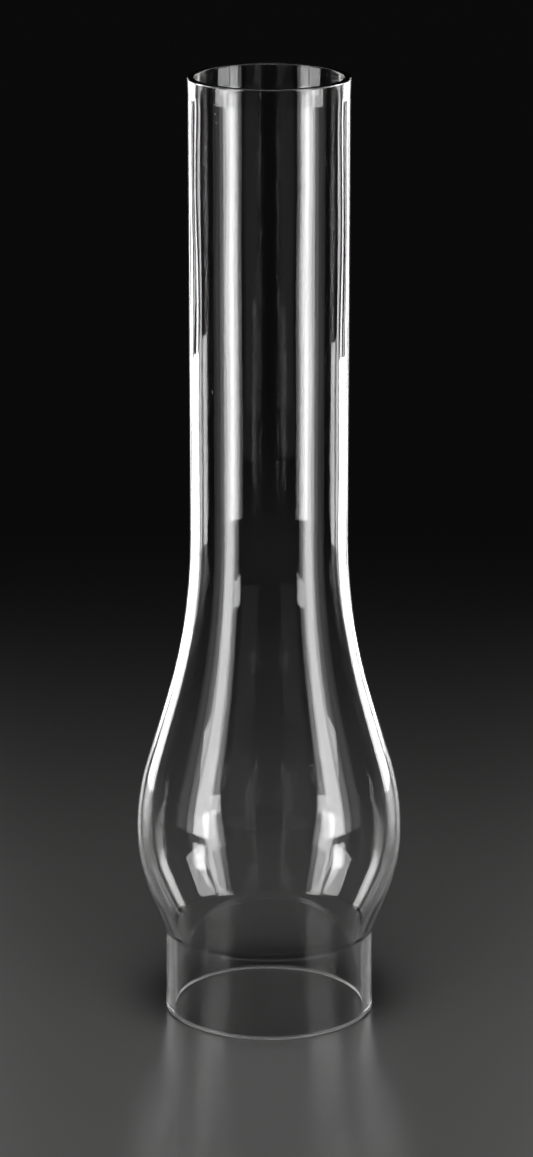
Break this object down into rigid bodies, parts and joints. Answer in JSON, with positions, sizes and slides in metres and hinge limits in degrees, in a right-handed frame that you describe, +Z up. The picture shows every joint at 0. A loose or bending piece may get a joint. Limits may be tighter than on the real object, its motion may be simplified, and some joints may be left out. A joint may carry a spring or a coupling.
{
  "type": "oil lamp chimney",
  "caption": "Clear blown-glass oil lamp chimney: straight collar, bulb around the flame, long sweep and straight open tube.",
  "frame": {"origin": "centre of the foot's rim, the lower edge of the collar", "axes": "+Z up along the chimney's axis, from the collar to the lip; X and Y are alike, because the glass is round"},
  "size_m": [0.0672, 0.0672, 0.24],
  "materials": {
    "clear_glass": "clear fire-polished glass"
  },
  "bodies": {
    "root": {"chimney_glass": "clear_glass"}
  },
  "joints": []
}
